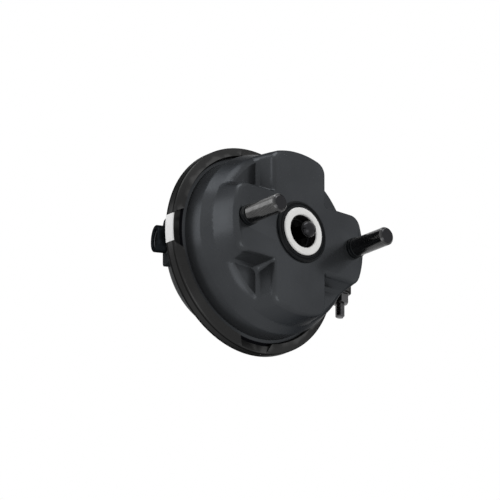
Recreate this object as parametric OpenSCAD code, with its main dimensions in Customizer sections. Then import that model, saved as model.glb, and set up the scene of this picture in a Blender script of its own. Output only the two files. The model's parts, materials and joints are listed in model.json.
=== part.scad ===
// Diaphragm brake cylinder. The centre of the mounting face is the origin and the face looks along -Y,
// +X is to the right seen from the front and +Z is up. The push rod moves along -Y.

/* [Mounting studs] */
// Distance between the two stud centres
stud_spacing = 120.65; // [116:0.05:122]
// Thread diameter of a stud
stud_d = 16; // [14:0.5:16]
// Length of a stud in front of the mounting face
stud_reach = 43; // [30:0.5:60]
// Chamfer on a stud's end
stud_chamfer = 2.1; // [1:0.1:3]
// Diameter of a stud's head inside the housing
stud_head_d = 25; // [20:0.5:28]
// Thickness of a stud's head
stud_head_h = 6; // [4:0.5:9]
// Depth of the thread relief that holds the stud's seal
stud_relief = 0.8; // [0.4:0.1:1.2]
// Outside diameter of the seal round a stud
stud_seal_d = 17.8; // [17:0.1:20]
// Height of the seal round a stud
stud_seal_h = 5.6; // [3:0.2:9]

/* [Housing face] */
// Half width of the upper and lower arms below their rounded edge
arm_half_x = 29.3; // [26:0.1:31]
// Half width of the left and right arms below their rounded edge
arm_half_z = 31.3; // [28:0.1:33]
// Distance from a stud's centre to its arm's end, below the rounded edge
arm_margin = 13.175; // [12:0.025:15]
// Width of the rounded edge along an arm's sides
edge_w = 3; // [2:0.1:5]
// Width of the rounded edge at an arm's end
end_edge_w = 4.5; // [3:0.1:6]
// Depth of the rounded edge
edge_h = 6.5; // [4:0.1:9]
// Corner radius of an arm's end, seen from the front
arm_corner = 10; // [6:0.5:14]
// Radius between two arms at the face
crotch_r = 3; // [2:0.5:6]
// How much more that radius is at the pocket floor
crotch_growth = 3; // [0:0.5:5]
// Spread of an arm's sides towards the pocket floor
side_draft = 4; // [2:0.5:6]
// Spread of an arm's end towards the shoulder
end_draft = 1.8; // [0.5:0.1:2.5]
// Width of the hollow fillet at the foot of an arm's sides
foot_w = 4; // [2:0.5:6]
// Share of the side's height that the foot fillet takes
foot_share = 0.3; // [0.15:0.05:0.5]

/* [Housing dish] */
// Wall thickness of the front housing
housing_wall = 4; // [3:0.1:4.5]
// Depth below the mounting face at which the shoulder's curve starts
shoulder_depth = 16.5; // [14:0.5:18]
// How much deeper the pocket floors lie, so that they meet the shoulder in an edge
floor_sink = 2.2; // [0.5:0.1:3]
// Radius of the shoulder outside the pockets
shoulder_r = 14; // [10:0.5:18]
// Slope of the dish behind the shoulder, from the axis
dish_angle = 18.4; // [14:0.1:24]
// Distance from the arms' ends out to the dish's straight wall
dish_margin = 5.8; // [5:0.1:7]
// Distance from the start of the straight wall to the joint
dish_wall_h = 25.5; // [23:0.1:28]
// Radius between the dish's slope and its straight wall
dish_bend_r = 8; // [6:1:20]
// Diameter of a breather hole in the dish's straight wall
breather_d = 7; // [4:0.5:9]
// Angle of a breather hole from the middle of the right arm
breather_angle = 40; // [25:1:60]

/* [Clamped flanges] */
// Width of the front flange outside the dish
flange_w = 8.1; // [7.2:0.1:8.6]
// Thickness of a flange at its rim
flange_t = 2.2; // [1.5:0.1:3]
// Thickness of the diaphragm
diaphragm_t = 3; // [2.4:0.1:3.4]
// Depth of the middle of the joint below the mounting face
joint_depth = 65.4; // [62:0.1:68]

/* [Clamp band] */
// Clearance between the flange rims and the band
band_play = 1.5; // [0.8:0.1:3]
// Thickness of the band
band_t = 2.3; // [1.6:0.1:2.6]
// Width of the band's outer face
band_w = 10.8; // [10:0.1:13]
// Height of the band's lips, measured from its outer face
lip_h = 8; // [7:0.1:8.6]
// Slope of the lips
lip_angle = 20.5; // [16:0.5:24]
// Radius of the fold between the band's outer face and a lip
band_fold_r = 2.6; // [2.6:0.1:4]
// Opening angle of a notch at the lips' edges
notch_angle = 26; // [20:1:32]
// Opening angle of a notch at the band's outer face
notch_floor = 17; // [13:1:19]
// Corner radius of a notch
notch_r = 3; // [1.5:0.5:4]
// Opening between the band's two ends
band_gap = 8; // [5:0.5:12]
// Distance of the clamp bolt from the band's outer face
bolt_out = 11.8; // [11:0.1:16]
// Thread diameter of the clamp bolt
bolt_d = 8; // [6:0.5:10]
// Thickness of an ear at the band's end
ear_t = 8.2; // [6:0.2:11]
// Outside radius of an ear round the bolt
ear_r = 9.6; // [8:0.2:11]
// Width of the nut and the bolt head across their flats
hex_w = 13; // [12:0.5:16]
// Height of the nut
nut_h = 8; // [6:0.5:10]
// Height of the bolt's head
bolt_head_h = 5.3; // [4:0.1:7]
// Thickness of a washer
washer_t = 1.6; // [1:0.1:2.5]
// Diameter of a washer
washer_d = 16; // [15:0.5:18]
// Length of the bolt past the nut
bolt_end = 12.4; // [4:0.2:20]
// Length of the label round the band
label_l = 25; // [15:0.5:32]
// Distance between the label's edge and the edge of the band's outer face
label_margin = 0.3; // [0.2:0.1:2]
// Thickness of the label
label_t = 0.3; // [0.2:0.05:0.5]

/* [Rear cover] */
// Depth of the rear cover behind the joint
cover_depth = 44.6; // [42:0.1:52]
// Wall thickness of the rear cover
cover_wall = 3; // [2.5:0.1:4]
// Width of the rear cover's flange outside its straight wall
cover_flange_w = 6.9; // [6:0.1:8]
// Slope of the cover's cone, from the axis
cover_angle = 36; // [30:1:40]
// Depth of the cone behind the joint
cover_wall_h = 11.6; // [10:0.1:16]
// Radius of the cover's front bend
cover_bend_r = 12; // [8:0.5:16]
// Radius of the cover's rear bend
cover_rear_r = 12; // [8:0.5:16]

/* [Air port] */
// Distance of the port's mouth outside the cover's straight wall
port_out = 2.7; // [2:0.1:6]
// Depth of the port's mouth behind the joint
port_back = 28.4; // [26:0.1:31]
// Angle of the port towards the rear
port_angle = 24.6; // [15:0.1:35]
// Outside diameter of the port's boss
port_boss_d = 23.3; // [21:0.1:26]
// Thread diameter of the port
port_d = 16; // [14:0.5:17]
// Depth of the port's thread
port_thread = 12.5; // [8:0.5:14]
// Diameter of the air passage behind the thread
port_passage = 9; // [6:0.5:11]
// Length of the boss
port_boss_l = 16.5; // [15:0.5:18]
// Width of the flat pad round the boss
pad_w = 42; // [32:0.5:48]
// Height of the pad, up the cover's cone
pad_h = 26; // [24:0.5:30]
// Corner radius of the pad
pad_corner_r = 5; // [3:0.5:8]
// Distance of the pad from the port's mouth
pad_back = 11.3; // [10:0.1:12]

/* [Push rod] */
// Distance of the rod's nose in front of the mounting face
nose_reach = 15.6; // [6:0.1:20]
// Radius of the rod's rounded nose
nose_r = 7.2; // [6:0.1:8.5]
// Radius of the rod
rod_r = 9.8; // [8.8:0.1:10]
// Radius of the neck behind the nose
neck_r = 5.6; // [4:0.1:6]
// Length of the taper between the neck and the rod
neck_taper = 8; // [4:0.5:14]
// Radius of the rod's collar on the push plate
collar_r = 15; // [12:0.5:20]
// Height of the rod's collar
collar_h = 7; // [4:0.5:12]
// Length of the taper in front of the collar
collar_taper = 3; // [1:0.5:6]
// Radius of the rod's stub in the push plate
stub_r = 6; // [4:0.5:8]
// Distance between the push plate's edge and the cover's rear corner
plate_margin = 4.5; // [3.5:0.1:8]
// Thickness of the push plate
plate_t = 3.5; // [2.5:0.1:5]
// Height of the push plate's rim
rim_h = 9; // [6:0.5:14]
// Radius of the plate's bend
plate_bend_r = 6; // [5:0.5:9]
// Distance between the push plate's edge and the diaphragm's corner
cup_margin = 2.4; // [2:0.1:3]
// Distance between the diaphragm's wall and the dish at the joint
cup_play = 3; // [2:0.1:5]
// Radius of the diaphragm's bend at its rim
cup_front_r = 5; // [4:0.5:8]
// Radius of the diaphragm's bend at its bottom
cup_rear_r = 9; // [6:0.5:12]

/* [Return spring] */
// Wire diameter of the return spring
wire_d = 4.6; // [3.5:0.1:5]
// Clearance between the spring's front turn and the face seal
spring_front_play = 1.8; // [1:0.1:4]
// Clearance between the spring's rear turn and the push plate's rim
spring_rear_play = 2.2; // [1:0.1:6]
// Number of turns
spring_turns = 6.5; // [5:0.5:8]
// Part of a turn that lies flat at each end
flat_turn = 0.75; // [0.5:0.05:1]

/* [Face seal and boot] */
// Width of the face seal outside the guide ring's bore
seal_w = 3.9; // [3:0.1:5]
// Height of the face seal in front of the mounting face
seal_h = 2.2; // [1.8:0.1:2.8]
// Width of the groove in the face seal
groove_w = 2; // [1:0.1:2.6]
// Depth of that groove
groove_h = 1; // [0.5:0.1:1.4]
// Width of the seal's lip outside the groove
seal_lip_w = 1.9; // [1:0.1:2.4]
// Width of the face seal's rear lip
seal_back_w = 2.3; // [1.5:0.1:2.5]
// Thickness of the face seal's rear lip
seal_back_t = 2.5; // [1.5:0.1:4]
// Thickness of the seal between the guide ring and the housing
seal_t = 2; // [1.5:0.1:3]
// Inside radius of the guide ring
guide_bore_r = 14.4; // [13.9:0.1:15]
// Thickness of the guide ring's wall
guide_t = 6.7; // [6:0.1:7.2]
// Chamfer on the guide ring's front edges
guide_chamfer = 0.8; // [0.3:0.1:1.2]
// Height of the guide ring in front of the mounting face
guide_h = 3.7; // [3:0.1:5]
// Depth of the guide ring behind the mounting face
guide_back = 4.7; // [3:0.1:6]
// Wall thickness of the boot
boot_t = 1.2; // [0.8:0.1:1.4]
// Clearance between the boot's inner folds and the rod
boot_play = 1.6; // [1.2:0.1:2.2]
// Height of the boot's folds
fold_h = 6.6; // [4:0.1:7.4]
// Radius of the boot's bends
fold_r = 1.2; // [1:0.1:1.5]
// Number of folds in the boot
boot_folds = 8; // [4:1:8]
// Distance between the boot's cuff and the rod's collar
cuff_gap = 0.8; // [0.5:0.1:4]
// Length of the boot's cuff on the rod
cuff_l = 7; // [5:0.5:9]
// Wire radius of the clip round the cuff
clip_wire_r = 0.8; // [0.5:0.1:1.1]

/* [Hidden] */

$fn = 96;

// Clearance between soft pieces and what they lie against
seat_gap = 0.3;
// Clearance of a bolt or stud in its hole
hole_gap = 0.2;
// Overshoot of a cut past the face it opens
over = 1;
// Segments in each rounded corner of a profile, and in each stretch of the arms' outline and their hollow's
bend_n = 7;
arm_n = 5;
hollow_n = 3;
// Segments round the spring's wire, and along one turn of it
wire_n = 8;
coil_n = 22;

stud_x = stud_spacing / 2;
stud_r = stud_d / 2;
stud_seal_chamfer = 0.6;
end_edge = end_edge_w / edge_w;
arm_side_mid = 0.35;
cut_margin = 0.3;
foot_sink = 0.4;

// Each radius follows from the studs' spacing: the arms' ends, the dish, the flanges and the band
lobe_r = stud_x + arm_margin;
dish_r = lobe_r + dish_margin;
flange_r = dish_r + flange_w;
band_r = flange_r + band_play + band_t;
lip_r = band_r - lip_h;
bolt_x = band_r + bolt_out;
cover_r = flange_r - cover_flange_w;
port_x = cover_r + port_out;

dish_slope_end = joint_depth - dish_wall_h;
body_depth = joint_depth + cover_depth;
pocket_depth = shoulder_depth + floor_sink;
cavity_edge = 1.5;
cavity_floor = pocket_depth + housing_wall;
cavity_mouth = dish_slope_end - housing_wall;

guide_r = guide_bore_r + guide_t;
face_bore_r = guide_r + seal_t;
seal_r = face_bore_r + seal_w;
seal_back_r = face_bore_r + seal_back_w;
groove_side = 0.6;
seal_chamfer = 0.9;

// The dish: its flat floor cuts the shoulder's curve, which runs into the sloping stretch
shoulder_drop = shoulder_r * (1 - sin(dish_angle));
slope_r = dish_r - (dish_slope_end - shoulder_depth - shoulder_drop) * tan(dish_angle);
shoulder_start_r = slope_r - shoulder_r * cos(dish_angle);
floor_r = shoulder_start_r + sqrt(pow(shoulder_r, 2) - pow(shoulder_r - floor_sink, 2));

// The joint: two flanges with the diaphragm's rim between them, held by the band's sloping lips
joint_front = joint_depth - diaphragm_t / 2;
joint_rear = joint_depth + diaphragm_t / 2;
flange_slope = tan(lip_angle);
band_edge = band_w / 2;
lip_depth = (band_r - lip_r) * flange_slope;
flange_foot = flange_t + (flange_r - dish_r) * flange_slope;
breather_depth = (dish_slope_end + joint_front - flange_foot) / 2;
cover_foot = flange_t + (flange_r - cover_r) * flange_slope;
rim_inset = 0.4;

ear_z = band_gap / 2 + ear_t;
washer_z = ear_z + washer_t;
nut_z = washer_z + nut_h;
ear_inset = 0.5;
bolt_chamfer = 1;
hex_angle = 30;
port_chamfer = 0.8;

// The cover's cone ends in the flat rear
cone_start = joint_depth + cover_wall_h;
cone_end_r = cover_r - (body_depth - cone_start) * tan(cover_angle);

// The push plate lies on the diaphragm, and the diaphragm on the cover
diaphragm_d = body_depth - cover_wall - seat_gap - diaphragm_t / 2;
plate_back = diaphragm_d - diaphragm_t / 2 - seat_gap;
plate_front = plate_back - plate_t;
plate_r = cone_end_r - plate_margin;
diaphragm_corner_r = plate_r + cup_margin;
diaphragm_neck_r = dish_r - housing_wall - cup_play;

spring_front_r = seal_back_r + spring_front_play + wire_d / 2;
spring_rear_r = plate_r - plate_t - spring_rear_play - wire_d / 2;
flat_rise = 1.05;

boot_start = guide_back + seat_gap + boot_t / 2;
boot_in_r = rod_r + boot_play + boot_t / 2;
boot_out_r = boot_in_r + fold_h;
cuff_start = plate_front - collar_h - collar_taper - cuff_gap - cuff_l;
boot_l = cuff_start - boot_start;
cuff_r = rod_r + seat_gap + boot_t / 2;
clip_r = cuff_r + boot_t / 2 + seat_gap / 2 + clip_wire_r;

housing_paint = [0.22, 0.235, 0.25];
cover_paint = [0.13, 0.14, 0.15];
band_paint = [0.24, 0.24, 0.24];
rubber = [0.09, 0.1, 0.11];
steel = [0.45, 0.45, 0.46];
dark_steel = [0.28, 0.28, 0.3];
white_plastic = [0.88, 0.88, 0.88];

// Points on an arc of n steps
function arc(c, r, a0, a1, n) = [for (i = [0:n]) let (a = a0 + (a1 - a0) * i / n) c + r * [cos(a), sin(a)]];

function unit(v) = v / norm(v);

// A turn between two directions, from -180 to 180 degrees
function turn(a, b) = (b - a + 540) % 360 - 180;

// One corner of a path, rounded with radius r
function bend(p, q, s, r) =
    let (u = unit(p - q), v = unit(s - q))
    let (half = acos(u * v) / 2, c = q + unit(u + v) * r / sin(half))
    let (f = q + u * r / tan(half) - c, g = q + v * r / tan(half) - c)
    let (start = atan2(f.y, f.x), stop = atan2(g.y, g.x))
    arc(c, r, start, start + turn(start, stop), bend_n);

// An open path from corners [x, y, radius], each rounded with its radius
function rounded(pts) = [
    for (k = [0:len(pts) - 1])
        let (q = [pts[k].x, pts[k].y])
        each (k == 0 || k == len(pts) - 1 || pts[k][2] == 0)
            ? [q]
            : bend([pts[k - 1].x, pts[k - 1].y], q, [pts[k + 1].x, pts[k + 1].y], pts[k][2])
];

function normal(p, q) = let (d = q - p) [-d.y, d.x] / norm(d);

// A path moved sideways by t, to its left
function beside(pts, t) = [
    for (k = [0:len(pts) - 1])
        let (m = k == 0 ? normal(pts[0], pts[1]) : normal(pts[k - 1], pts[k]))
        let (n = k == len(pts) - 1 ? m : normal(pts[k], pts[k + 1]))
        pts[k] + (m + n) * t / (1 + m * n)
];

function backwards(pts) = [for (k = [len(pts) - 1:-1:0]) pts[k]];

// A wall of thickness t round the path, half on each side
function wall_round(pts, t) = concat(beside(pts, t / 2), backwards(beside(pts, -t / 2)));

// Turns a profile of [radius, depth] points round the cylinder's axis
module turned(profile, from = 0, sweep = 360)
    rotate([-90, 0, 0]) rotate([0, 0, from]) rotate_extrude(angle = sweep) polygon(profile);

// A round bar along Y between two depths
module bar(r, d0, d1)
    translate([0, d0, 0]) rotate([-90, 0, 0]) cylinder(r = r, h = d1 - d0);

// The middle of a ring's points
function middle(ring) = [for (i = [0:len(ring) - 1]) 1] * ring / len(ring);

// A solid between closed rings of equally many points, the first ring in front
module loft(rings) {
    n = len(rings[0]);
    last = len(rings) - 1;
    tip = n * len(rings);
    sides = [
        for (k = [0:last - 1])
            for (i = [0:n - 1])
                let (j = (i + 1) % n)
                each [
                    [k * n + i, (k + 1) * n + i, (k + 1) * n + j],
                    [k * n + i, (k + 1) * n + j, k * n + j]
                ]
    ];
    front = [for (i = [0:n - 1]) [tip, i, (i + 1) % n]];
    rear = [for (i = [0:n - 1]) [tip + 1, last * n + (i + 1) % n, last * n + i]];
    ends = [middle(rings[0]), middle(rings[last])];
    points = concat([for (r = rings) each r], ends);
    polyhedron(points = points, faces = concat(front, sides, rear), convexity = 6);
}

// Depth of the dish's outer surface at radius r
function dish_depth(r) =
    r < floor_r ? pocket_depth
    : r < slope_r ? shoulder_depth + shoulder_r - sqrt(pow(shoulder_r, 2) - pow(r - shoulder_start_r, 2))
    : shoulder_depth + shoulder_drop + (r - slope_r) / tan(dish_angle);

// A quarter of the four-armed outline, from the top arm's end to the right arm's end
function quarter(a, b, r, corner, crotch, k) =
    let (top = [a - corner, sqrt(pow(r - corner, 2) - pow(a - corner, 2))])
    let (side = [sqrt(pow(r - corner, 2) - pow(b - corner, 2)), b - corner])
    let (top_a = atan2(top.y, top.x), side_a = atan2(side.y, side.x))
    let (end_z = b + crotch, end_x = a + crotch)
    concat(
        [for (i = [0:k - 1]) r * [cos(90 + (top_a - 90) * i / k), sin(90 + (top_a - 90) * i / k)]],
        arc(top, corner, top_a, 0, k),
        [for (f = [0.25, 0.5, 0.75]) [a, top.y + (end_z - top.y) * f]],
        arc([end_x, end_z], crotch, 180, 270, k),
        [for (f = [0.25, 0.5, 0.75]) [end_x + (side.x - end_x) * f, b]],
        arc(side, corner, 90, side_a, k),
        [for (i = [1:k]) r * [cos(side_a * (1 - i / k)), sin(side_a * (1 - i / k))]]
    );

// The whole outline, clockwise from the top
function four_arms(a, b, r, corner, crotch, k) =
    let (q = quarter(a, b, r, corner, crotch, k), n = len(q) - 1)
    concat(
        q,
        [for (i = [n - 1:-1:0]) [q[i].x, -q[i].y]],
        [for (i = [1:n]) [-q[i].x, -q[i].y]],
        [for (i = [n - 1:-1:1]) [-q[i].x, q[i].y]]
    );

// One ring on the arms' rounded edge, t degrees round it
function edge_ring(t) =
    let (e = edge_w * (1 - sin(t)), d = edge_h * (1 - cos(t)))
    let (o = four_arms(arm_half_x - e, arm_half_z - e, lobe_r - e * end_edge, arm_corner, crotch_r, arm_n))
    [for (p = o) [p.x, d, p.y]];

// One ring on the arms' sides: s runs from the rounded edge to the foot, out is the foot fillet's width
function side_ring(s, out) =
    let (w = side_draft * s + out)
    let (o = four_arms(arm_half_x + w, arm_half_z + w, lobe_r + end_draft * s, arm_corner,
        crotch_r + crotch_growth * s, arm_n))
    [for (p = o) [p.x, edge_h + (dish_depth(norm(p)) + foot_sink - edge_h) * s, p.y]];

// The four-armed plateau, its foot sunk into the dish
module plateau() {
    foot = side_ring(1, foot_w);
    loft(concat(
        [for (t = [0:15:90]) edge_ring(t)],
        [for (s = [arm_side_mid, 1 - foot_share]) side_ring(s, 0)],
        [for (k = [1:3]) let (t = k * 90 / 4) side_ring(1 - foot_share * (1 - sin(t)), foot_w * (1 - cos(t)))],
        [foot],
        [[for (p = foot) [p.x, cavity_mouth, p.z]]]
    ));
}

// One ring of the hollow inside the arms, w wider than at the face
function hollow_ring(d, w, end) =
    let (a = arm_half_x - housing_wall + w, b = arm_half_z - housing_wall + w)
    let (r = lobe_r - housing_wall + end)
    let (o = four_arms(a, b, r, arm_corner - housing_wall, crotch_r + housing_wall, hollow_n))
    [for (p = o) [p.x, d, p.y]];

// The hollow inside the arms, open into the dish
module plateau_hollow()
    loft([
        hollow_ring(housing_wall, -cavity_edge, -cavity_edge),
        hollow_ring(housing_wall + cavity_edge, 0, 0),
        hollow_ring(cavity_floor, side_draft, end_draft / 2),
        hollow_ring(cavity_mouth, side_draft, end_draft / 2)
    ]);

// The dish's outer surface: shoulder, slope and straight wall, then the floor cut into them
function dish_side() = rounded([
    [0, shoulder_depth, 0],
    [slope_r - shoulder_drop * tan(dish_angle), shoulder_depth, shoulder_r],
    [dish_r, dish_slope_end, dish_bend_r],
    [dish_r, joint_front - flange_foot, 0]
]);
function dish_path() = concat(
    [[0, pocket_depth], [floor_r, pocket_depth]],
    [for (p = dish_side()) if (p.y > pocket_depth + cut_margin) p]
);

module front_housing() {
    path = dish_path();
    hollow = beside(path, housing_wall);
    color(housing_paint) difference() {
        union() {
            plateau();
            turned(concat(
                path,
                [[flange_r, joint_front - flange_t], [flange_r, joint_front], [0, joint_front]]
            ));
        }
        plateau_hollow();
        turned(concat(
            [for (p = hollow) if (p.y < dish_slope_end) p],
            [
                [dish_r - housing_wall, dish_slope_end],
                [dish_r - housing_wall, joint_front + over],
                [0, joint_front + over]
            ]
        ));
        bar(face_bore_r, -over, cavity_floor);
        for (x = [-stud_x, stud_x]) translate([x, 0, 0]) bar(stud_r + hole_gap, -over, cavity_floor);
        for (a = [-breather_angle, breather_angle]) rotate([0, a, 0])
            translate([dish_r - housing_wall - over, breather_depth, 0]) rotate([0, 90, 0])
                cylinder(r = breather_d / 2, h = housing_wall + 2 * over);
    }
}

function cover_path() = rounded([
    [cover_r, joint_rear + cover_foot, 0],
    [cover_r, cone_start, cover_bend_r],
    [cone_end_r, body_depth, cover_rear_r],
    [0, body_depth, 0]
]);

// Places children on the port's axis, their Z axis out of the mouth
module on_port()
    translate([-port_x, joint_depth + port_back, 0]) rotate([0, -90, port_angle * -1]) children();

module rounded_plate(w, h, r, t)
    linear_extrude(t) union() {
        square([w, h - 2 * r], center = true);
        square([w - 2 * r, h], center = true);
        for (x = [-1, 1], y = [-1, 1]) translate([x * (w / 2 - r), y * (h / 2 - r)]) circle(r);
    }

module rear_cover() {
    path = cover_path();
    hollow = beside(path, cover_wall);
    color(cover_paint) difference() {
        union() {
            turned(concat([[0, joint_rear], [flange_r, joint_rear], [flange_r, joint_rear + flange_t]], path));
            on_port() translate([0, 0, -port_boss_l])
                rounded_plate(pad_w, pad_h, pad_corner_r, port_boss_l - pad_back);
        }
        turned(concat([[0, joint_rear - over], [cover_r - cover_wall, joint_rear - over]], hollow));
        on_port() translate([0, 0, -2 * port_boss_l]) cylinder(r = port_boss_d / 2, h = 3 * port_boss_l);
    }
}

module port_boss()
    color(cover_paint) on_port() rotate_extrude() polygon([
        [port_passage / 2, -port_boss_l],
        [port_boss_d / 2, -port_boss_l],
        [port_boss_d / 2, -port_chamfer],
        [port_boss_d / 2 - port_chamfer, 0],
        [port_d / 2 + port_chamfer, 0],
        [port_d / 2, -port_chamfer],
        [port_d / 2, -port_thread],
        [port_passage / 2, -port_thread - 2 * port_chamfer]
    ]);

// The band's section: a flat strap with a sloping lip on each side
function band_path() = rounded([
    [lip_r, joint_depth - band_edge - lip_depth, 0],
    [band_r, joint_depth - band_edge, band_fold_r],
    [band_r, joint_depth + band_edge, band_fold_r],
    [lip_r, joint_depth + band_edge + lip_depth, 0]
]);

module ear_outline()
    union() {
        translate([bolt_x, joint_depth]) circle(ear_r);
        polygon([
            [band_r - band_t, joint_depth - band_edge + ear_inset],
            [bolt_x, joint_depth - ear_r],
            [bolt_x, joint_depth + ear_r],
            [band_r - band_t, joint_depth + band_edge - ear_inset]
        ]);
    }

function on_circle(r, a) = r * [sin(a), cos(a)];

// One side of a notch, from inside the lip's edge to the band's outer face
function notch_side(s) =
    let (foot = on_circle(lip_r - over, s * notch_angle / 2), head = on_circle(band_r, s * notch_floor / 2))
    [
        concat(on_circle(lip_r - over, s * (notch_angle / 2 + notch_r)), [0]),
        concat(foot, [notch_r]),
        concat(head, [notch_r])
    ];

// A notch in the upper lips, seen from the front
module notch() {
    outline = rounded(concat(notch_side(-1), [[0, band_r + over, 0]], backwards(notch_side(1))));
    polygon(concat([[0, lip_r - lip_h]], outline));
}

module clamp_band() {
    path = band_path();
    section = concat(path, backwards(beside(path, band_t)));
    lip_end = band_edge + lip_depth + over;
    color(band_paint) difference() {
        union() {
            difference() {
                turned(section);
                for (side = [-1, 1], a = [0:90:270])
                    translate([0, joint_depth + side * (band_edge + lip_end) / 2, 0]) rotate([90, 0, 0])
                        rotate([0, 0, a]) linear_extrude(lip_end - band_edge, center = true) notch();
                translate([band_r, joint_depth, 0])
                    cube([2 * lip_h + over, 2 * lip_end, band_gap], center = true);
            }
            for (z = [-ear_z, band_gap / 2]) translate([0, 0, z]) linear_extrude(ear_t) ear_outline();
        }
        translate([bolt_x, joint_depth, -ear_z - over])
            cylinder(r = bolt_d / 2 + hole_gap, h = 2 * (ear_z + over));
    }
}

// A hexagon with its flats hex_w apart
module hexagon(h)
    cylinder(r = hex_w / 2 / cos(30), h = h, $fn = 6);

// A hexagon of height h whose corners are chamfered at its outer end, z = h
module chamfered_hexagon(h)
    intersection() {
        hexagon(h);
        cylinder(r1 = hex_w / 2 + h / tan(hex_angle), r2 = hex_w / 2, h = h);
    }

module clamp_bolt() {
    end_z = nut_z + bolt_end;
    color(steel) translate([bolt_x, joint_depth, 0]) union() {
        translate([0, 0, bolt_chamfer - end_z]) cylinder(r = bolt_d / 2, h = end_z + washer_z - bolt_chamfer);
        translate([0, 0, -end_z]) cylinder(r1 = bolt_d / 2 - bolt_chamfer, r2 = bolt_d / 2, h = bolt_chamfer);
        translate([0, 0, washer_z]) chamfered_hexagon(bolt_head_h);
    }
}

module clamp_nut()
    color(steel) translate([bolt_x, joint_depth, -washer_z]) rotate([180, 0, 0]) difference() {
        chamfered_hexagon(nut_h);
        translate([0, 0, -over]) cylinder(r = bolt_d / 2, h = nut_h + 2 * over);
    }

module clamp_washers()
    color(steel) for (z = [-washer_z, ear_z]) translate([bolt_x, joint_depth, z]) difference() {
        cylinder(r = washer_d / 2, h = washer_t);
        translate([0, 0, -over]) cylinder(r = bolt_d / 2 + hole_gap, h = washer_t + 2 * over);
    }

// The label follows the band's outer face and the start of its folds
module band_label() {
    sweep = label_l / band_r * 180 / PI;
    path = band_path();
    color(white_plastic) intersection() {
        turned(concat(path, backwards(beside(path, -label_t))), 180 - sweep / 2, sweep);
        translate([-band_r, joint_depth, 0])
            cube([2 * lip_h, band_w - 2 * label_margin, 2 * label_l], center = true);
    }
}

module diaphragm() {
    path = rounded([
        [flange_r - rim_inset, joint_depth, 0],
        [diaphragm_neck_r, joint_depth, cup_front_r],
        [diaphragm_corner_r, diaphragm_d, cup_rear_r],
        [0, diaphragm_d, 0]
    ]);
    color(rubber) turned(wall_round(path, diaphragm_t));
}

module push_plate() {
    path = rounded([
        [stub_r, plate_back - plate_t / 2, 0],
        [plate_r - plate_t / 2, plate_back - plate_t / 2, plate_bend_r],
        [plate_r - plate_t / 2, plate_front - rim_h, 0]
    ]);
    color(steel) turned(wall_round(path, plate_t));
}

module push_rod() {
    nose_d = nose_r - nose_reach;
    nose_a = asin(neck_r / nose_r);
    color(dark_steel) turned(concat(
        [for (a = [0:10:180 - nose_a]) [nose_r * sin(a), nose_d - nose_r * cos(a)]],
        [
            [neck_r, nose_d + nose_r * cos(nose_a)],
            [neck_r, guide_back],
            [rod_r, guide_back + neck_taper],
            [rod_r, plate_front - collar_h - collar_taper],
            [collar_r, plate_front - collar_h],
            [collar_r, plate_front],
            [stub_r, plate_front],
            [stub_r, plate_back],
            [0, plate_back]
        ]
    ));
}

// The coil's middle line: closed turns at both ends, open ones between
function coil_y(u) =
    let (y0 = housing_wall + seat_gap + wire_d / 2, y1 = plate_front - seat_gap - wire_d / 2)
    let (e = flat_turn / spring_turns, c = flat_turn * wire_d * flat_rise)
    u < e ? y0 + c * u / e
    : u > 1 - e ? y1 - c * (1 - u) / e
    : y0 + c + (y1 - y0 - 2 * c) * (u - e) / (1 - 2 * e);

module return_spring() {
    steps = round(spring_turns * coil_n);
    rings = [
        for (i = [0:steps])
            let (u = i / steps, a = 360 * spring_turns * u)
            let (r = spring_front_r + (spring_rear_r - spring_front_r) * u)
            [for (k = [0:wire_n - 1])
                let (t = 360 * k / wire_n, q = r + wire_d / 2 * cos(t))
                [q * cos(a), coil_y(u) + wire_d / 2 * sin(t), q * sin(a)]]
    ];
    color(steel) loft(rings);
}

module rod_boot() {
    pitch = boot_l / boot_folds;
    path = rounded(concat(
        [[guide_r - seat_gap, boot_start, 0], [boot_in_r, boot_start, fold_r]],
        [for (i = [1:2 * boot_folds - 1])
            [i % 2 == 1 ? boot_out_r : boot_in_r, boot_start + pitch * i / 2, fold_r]],
        [[cuff_r, cuff_start, fold_r], [cuff_r, cuff_start + cuff_l, 0]]
    ));
    color(rubber) turned(wall_round(path, boot_t));
}

module boot_clip()
    color(steel) translate([0, cuff_start + cuff_l / 2, 0]) rotate([-90, 0, 0])
        rotate_extrude() translate([clip_r, 0]) circle(clip_wire_r, $fn = 24);

module face_seal() {
    groove_out = seal_r - seal_lip_w;
    groove_in = groove_out - groove_w;
    color(rubber) turned([
        [guide_r, -seal_h],
        [groove_in, -seal_h],
        [groove_in + groove_side, -seal_h + groove_h],
        [groove_out - groove_side, -seal_h + groove_h],
        [groove_out, -seal_h],
        [seal_r - seal_chamfer, -seal_h],
        [seal_r, -seal_h + seal_chamfer],
        [seal_r, 0],
        [face_bore_r, 0],
        [face_bore_r, housing_wall],
        [seal_back_r, housing_wall],
        [seal_back_r, housing_wall + seal_back_t],
        [guide_r, housing_wall + seal_back_t]
    ]);
}

module guide_ring()
    color(white_plastic) turned([
        [guide_bore_r, -guide_h + guide_chamfer],
        [guide_bore_r + guide_chamfer, -guide_h],
        [guide_r - guide_chamfer, -guide_h],
        [guide_r, -guide_h + guide_chamfer],
        [guide_r, guide_back],
        [guide_bore_r, guide_back]
    ]);

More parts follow.
